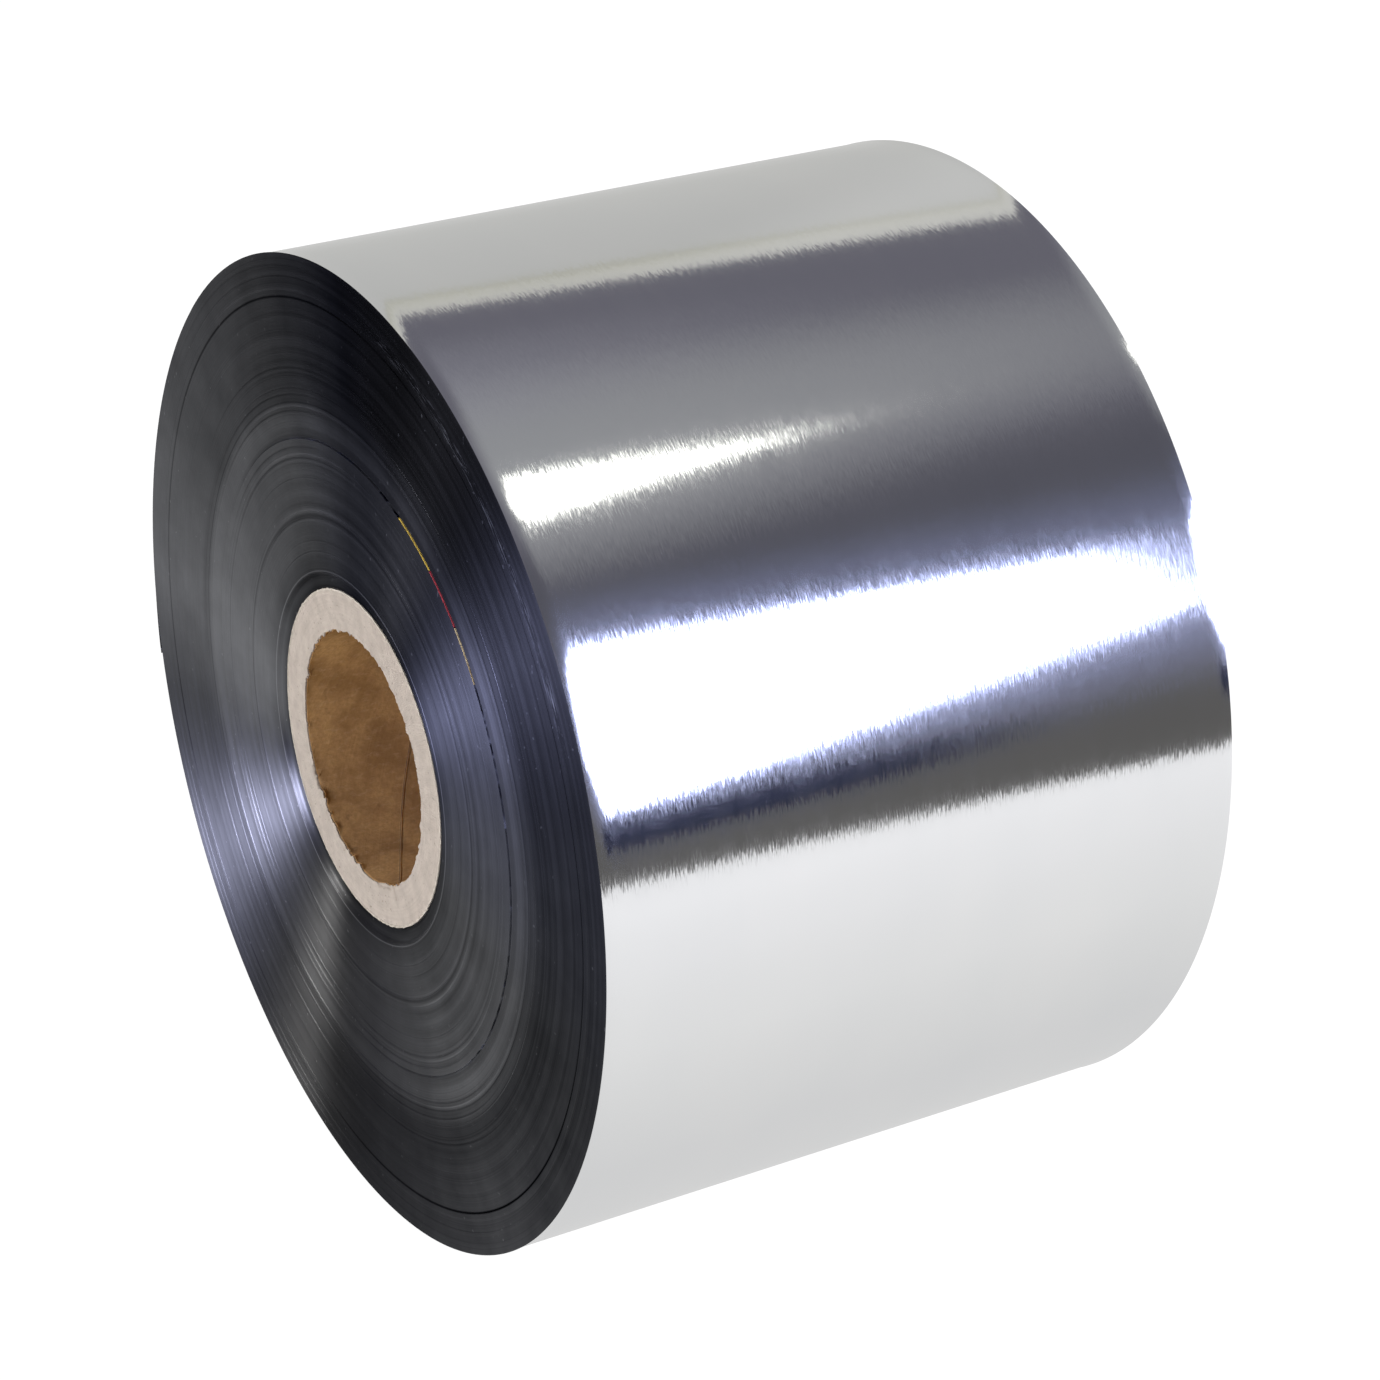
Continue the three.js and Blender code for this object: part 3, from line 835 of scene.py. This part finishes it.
def floor_material():
    """Matt white paper, mostly self-lit to the camera so that only a faint shadow shows. Mirror rays see it
    with painted shade near the roll and a painted shadow in the roll's shadow, as far as the paper's edges."""
    material, n = new_material("floor_paper")
    place = n.object_place()
    path = n.node("ShaderNodeLightPath")
    fine = n.noise(n.vector("SCALE", place, scale=40.0), 1.0, 3.0)
    lit = n.node("ShaderNodeBsdfDiffuse", {"Color": n.mix(fine, grey(0.86), grey(0.88))})
    glow = n.node("ShaderNodeEmission", {"Color": grey(1.0), "Strength": 1.1})
    shown = n.node("ShaderNodeMixShader", {0: n.mul(path.outputs["Is Camera Ray"], 0.86),
                                           1: lit.outputs[0], 2: glow.outputs[0]})

    away = n.math("ABSOLUTE", n.xyz(place)[1])
    # Painted shade: the mirrored paper is painted darker near the roll.
    painted_paper_shade = n.ramp(away, (0.08, (0.68, 0.68, 0.675, 1)), (0.12, (0.69, 0.69, 0.685, 1)),
                        (0.162, (0.735, 0.735, 0.725, 1)), (0.23, (0.8, 0.8, 0.79, 1)),
                        (0.37, (0.865, 0.865, 0.865, 1)), (0.6, (0.93, 0.93, 0.935, 1)))
    along = n.vector("DOT_PRODUCT", place, tuple(SHADOW_WAY))
    aside = n.math("ABSOLUTE", n.vector("DOT_PRODUCT", place, (SHADOW_WAY.y, -SHADOW_WAY.x, 0.0)))
    # Painted shadow: the mirrored paper is painted dark along the roll's shadow.
    shadow = n.mul(n.mul(n.spread(along, 0.06, 0.16), n.spread(along, 0.9, 0.6)),
                   n.spread(aside, 0.2, 0.1))
    mirrored = n.node("ShaderNodeEmission", {"Color": n.mix(shadow, painted_paper_shade, grey(0.05)),
                                             "Strength": 1.0})
    to_right = n.vector("DOT_PRODUCT", place, tuple(PAPER_EDGE_WAY))
    to_left = n.vector("DOT_PRODUCT", place, tuple(-VIEW_RIGHT))
    off_paper = n.math("MAXIMUM", n.spread(to_right, PAPER_EDGE - PAPER_EDGE_BLUR, PAPER_EDGE),
                       n.spread(to_left, PAPER_HALF_WIDTH - PAPER_EDGE_BLUR, PAPER_HALF_WIDTH))
    clear = n.node("ShaderNodeBsdfTransparent")
    in_mirror = n.node("ShaderNodeMixShader", {0: off_paper, 1: mirrored.outputs[0],
                                               2: clear.outputs[0]})
    both = n.node("ShaderNodeMixShader", {0: path.outputs["Is Glossy Ray"], 1: shown.outputs[0],
                                          2: in_mirror.outputs[0]})
    n.node("ShaderNodeOutputMaterial", {"Surface": both.outputs[0]})
    return material


def backdrop_material():
    """The hanging paper behind the roll, seen only in reflections: grey, with a thin line near its top."""
    material, n = new_material("backdrop_paper")
    height = n.spread(n.xyz(n.object_place())[2], 0.0, PAPER_TOP, smooth=False)
    colour = n.ramp(height, (0.0, (0.63, 0.63, 0.62, 1)), (0.25, (0.54, 0.54, 0.522, 1)),
                    (0.84, (0.495, 0.495, 0.48, 1)), (0.866, (0.365, 0.36, 0.27, 1)),
                    (0.885, (0.52, 0.515, 0.46, 1)), (1.0, (0.58, 0.575, 0.54, 1)))
    right = n.vector("DOT_PRODUCT", n.object_place(), tuple(VIEW_RIGHT))
    lighter = n.mul(n.spread(right, 0.05, 0.22), n.spread(height, 0.3, 0.5))
    colour = n.mix(n.mul(lighter, 0.2), colour, (0.85, 0.85, 0.83, 1))
    glow = n.node("ShaderNodeEmission", {"Color": colour, "Strength": 1.0})
    n.node("ShaderNodeOutputMaterial", {"Surface": glow.outputs[0]})
    return material


def only_in_reflections(obj):
    """Hides a stage piece from everything but mirror rays."""
    obj.visible_camera = False
    obj.visible_diffuse = False
    obj.visible_shadow = False
    obj.visible_transmission = False


LAMP_DISTANCE = 4.0
# Azimuth, elevation and half angle of the eight-sided soft box.
SOFT_BOX = (17.4, 22.2, 17.4)
# Azimuth and elevation of the corners of the narrow lamp above the roll.
LAMP_CORNERS = ((69.4, 66.3), (43.0, 59.2), (57.0, 59.9), (65.2, 59.0))
# Round lamps: name, azimuth, elevation, half angle, radiance, colour, and whether it shows in reflections.
DISC_LIGHTS = (("left_window", -70.0, 20.0, 8.0, 105.0, (0.72, 0.74, 1.0), True),
               ("left_lamp", -116.0, 35.0, 4.0, 90.0, (1.0, 0.97, 0.9), True),
               ("key", 18.0, 30.0, 20.0, 8.0, (1.0, 1.0, 1.0), False),
               ("back_key", 180.0, 32.0, 22.0, 3.5, (1.0, 1.0, 1.0), False),
               ("side_key", -80.0, 12.0, 20.0, 5.0, (1.0, 0.98, 0.95), False))
# Soft patches of the mirrored room: azimuth, elevation, the angles where each fades out and where it is
# full, its strength and its colour.
ROOM_PATCHES = ((45.0, 34.0, 24.0, 8.0, 0.5, (0.04, 0.042, 0.052, 1)),
                (73.0, 76.5, 29.0, 5.0, 0.53, (0.46, 0.475, 0.47, 1)),
                (41.0, 58.0, 12.0, 2.0, 0.22, (0.5, 0.51, 0.5, 1)),
                (161.0, 71.0, 26.0, 8.0, 0.65, (0.32, 0.32, 0.36, 1)),
                (18.0, 22.0, 31.0, 18.0, 0.3, (0.24, 0.27, 0.45, 1)))


def reflected_shape(name, corners, radiance, colour):
    """A flat lamp shown in reflections only. Its corners are vectors from the roll's middle."""
    shape = stage_face(name, [Vector((0, 0, AXIS_Z)) + corner for corner in corners])
    material, n = new_material(name)
    glow = n.node("ShaderNodeEmission", {"Color": (*colour, 1.0), "Strength": radiance})
    n.node("ShaderNodeOutputMaterial", {"Surface": glow.outputs[0]})
    shape.data.materials.append(material)
    only_in_reflections(shape)


def soft_box_corners(azimuth, elevation, half_angle):
    """Corners of an eight-sided soft box that faces the roll. half_angle is to its flat sides."""
    towards = direction(azimuth, elevation)
    right = UP.cross(towards).normalized()
    up = towards.cross(right)
    reach = math.tan(math.radians(half_angle)) / math.cos(math.pi / 8)
    turns = [(corner + 0.5) * math.pi / 4 for corner in range(8)]
    return [(towards + (right * math.cos(turn) + up * math.sin(turn)) * reach) * LAMP_DISTANCE
            for turn in turns]


def disc_light(name, azimuth, elevation, half_angle, radiance, colour, reflected):
    """A round soft lamp facing the roll, sized by the angle it fills. It either shows in reflections only
    or lights matt surfaces only."""
    size = 2 * LAMP_DISTANCE * math.tan(math.radians(half_angle))
    data = bpy.data.lights.new(name, "AREA")
    data.shape = "DISK"
    data.size = size
    data.energy = radiance * math.pi * math.pi * size * size / 4
    data.color = colour
    lamp = bpy.data.objects.new(name, data)
    towards = direction(azimuth, elevation)
    lamp.location = Vector((0, 0, AXIS_Z)) + towards * LAMP_DISTANCE
    lamp.rotation_euler = towards.to_track_quat("Z", "Y").to_euler()
    bpy.context.scene.collection.objects.link(lamp)
    lamp.visible_camera = False
    lamp.visible_diffuse = not reflected
    lamp.visible_glossy = reflected


def make_world():
    """White to the camera, soft grey light to matt surfaces, and a dim room to mirror rays."""
    world = bpy.data.worlds.new("studio")
    bpy.context.scene.world = world
    n = Nodes(world)
    place = n.node("ShaderNodeTexCoord").outputs["Generated"]
    up = n.xyz(place)[2]
    path = n.node("ShaderNodeLightPath")

    def towards(azimuth, elevation, outer, inner):
        """1 within an angle of a direction, easing to 0 at a wider angle."""
        dot = n.vector("DOT_PRODUCT", place, tuple(direction(azimuth, elevation)))
        return n.spread(dot, math.cos(math.radians(outer)), math.cos(math.radians(inner)))

    room = n.mix(n.spread(up, -0.05, 0.12), (0.105, 0.102, 0.098, 1), (0.134, 0.131, 0.158, 1))
    for azimuth, elevation, outer, inner, strength, colour in ROOM_PATCHES:
        patch = towards(azimuth, elevation, outer, inner)
        room = n.mix(n.mul(patch, strength), room, colour)
    # A dark patch under the soft box, as its stand would be.
    stand = n.mul(n.spread(up, -0.085, -0.05), n.spread(up, 0.055, 0.0))
    room = n.mix(n.mul(stand, towards(16.0, 0.0, 16.0, 13.6)), room, (0.008, 0.01, 0.03, 1))
    seen = n.mix(path.outputs["Is Glossy Ray"], grey(0.2), room)
    seen = n.mix(path.outputs["Is Camera Ray"], seen, grey(1.0))
    shader = n.node("ShaderNodeBackground", {"Color": seen, "Strength": 1.0})
    n.node("ShaderNodeOutputWorld", {"Surface": shader.outputs[0]})


def make_stage():
    """The floor, the hanging paper behind the roll, and the lamps."""
    floor = plane("floor", Vector((0, 0, -0.2 * MM)), Vector((1, 0, 0)), Vector((0, 1, 0)), 40.0, 40.0)
    floor.data.materials.append(floor_material())
    backdrop = plane("backdrop", -VIEW_BACK * PAPER_BACK + UP * PAPER_TOP / 2, VIEW_RIGHT, UP,
                     2 * PAPER_HALF_WIDTH, PAPER_TOP)
    backdrop.data.materials.append(backdrop_material())
    only_in_reflections(backdrop)

    reflected_shape("octabox", soft_box_corners(*SOFT_BOX), 7.0, (0.58, 0.64, 1.0))
    lamp = [direction(*corner) * LAMP_DISTANCE for corner in LAMP_CORNERS]
    reflected_shape("lamp", lamp, 3.6, (1.0, 1.0, 0.92))
    for light in DISC_LIGHTS:
        disc_light(*light)


# ---------------------------------------------------------------------------------------------
# The scene
# ---------------------------------------------------------------------------------------------

make_camera()
make_world()
make_stage()

FILM = film_face_material()
PALE = paper_material("pale_liner", (0.42, 0.37, 0.31, 1), (0.62, 0.57, 0.5, 1))
START = paper_material("start_tape", (0.34, 0.27, 0.14, 1), (0.5, 0.4, 0.22, 1))
CLOSING = paper_material("closing_tape", (0.56, 0.43, 0.24, 1), (0.72, 0.59, 0.37, 1))
YELLOW = paper_material("splice_yellow", (0.4, 0.27, 0.03, 1), (0.72, 0.5, 0.07, 1))
RED = paper_material("splice_red", (0.16, 0.012, 0.025, 1), (0.42, 0.03, 0.05, 1))
CREAM = paper_material("splice_cream", (0.28, 0.2, 0.12, 1), (0.68, 0.56, 0.36, 1))

make_web(FILM, film_edge_material())
make_tail(FILM)
make_core(board_material(), kraft_material(), PALE)
make_closing_tapes(CLOSING)
finish_kept_nodes({"web_start_tape": START, "splice_tape_yellow": YELLOW, "splice_tape_red": RED,
                   "splice_tape_cream": CREAM})

bpy.context.scene.view_settings.view_transform = "Standard"
